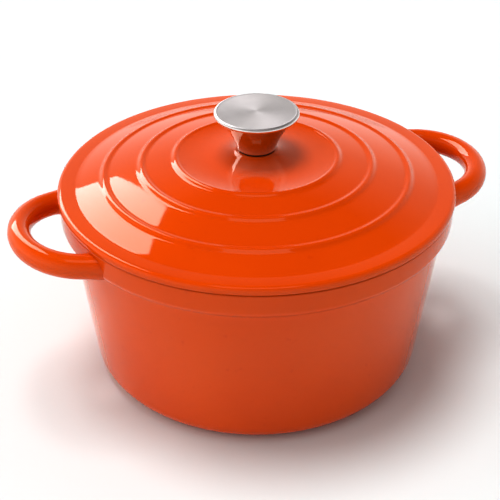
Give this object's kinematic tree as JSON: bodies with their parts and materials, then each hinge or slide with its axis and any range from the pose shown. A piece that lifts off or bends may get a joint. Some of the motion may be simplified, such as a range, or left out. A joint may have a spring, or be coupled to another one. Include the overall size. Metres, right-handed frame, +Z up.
{
  "type": "cast iron dutch oven",
  "caption": "Round enamelled cast iron dutch oven with a loop handle at each side and a domed, ringed lid that lifts off by a steel knob.",
  "frame": {"origin": "centre of the pot's flat base, on the surface that it stands on", "axes": "+Z up through the knob, X through the two loop handles"},
  "size_m": [0.3376, 0.266, 0.1853],
  "materials": {
    "pot_enamelled_iron": "gloss orange enamel outside, cream enamel inside",
    "lid_enamelled_iron": "gloss orange enamel above, cream enamel below",
    "brushed_stainless": "turned, fine circular brushing",
    "polished_stainless": "mirror polished",
    "plain_steel": "plain stainless fasteners",
    "black_silicone": "matt"
  },
  "bodies": {
    "pot": {"pot": "pot_enamelled_iron"},
    "lid": {"lid": "lid_enamelled_iron", "knob_cap": "brushed_stainless", "knob_stem": "polished_stainless", "knob_nut": "plain_steel", "knob_gasket": "black_silicone", "flat_washer": "plain_steel", "spring_washer": "plain_steel", "knob_screw": "plain_steel"}
  },
  "joints": [
    {"name": "lid_lift", "type": "slide", "parent": "pot", "child": "lid", "axis": [0, 0, 1], "range_m": [0, 0.15]}
  ]
}
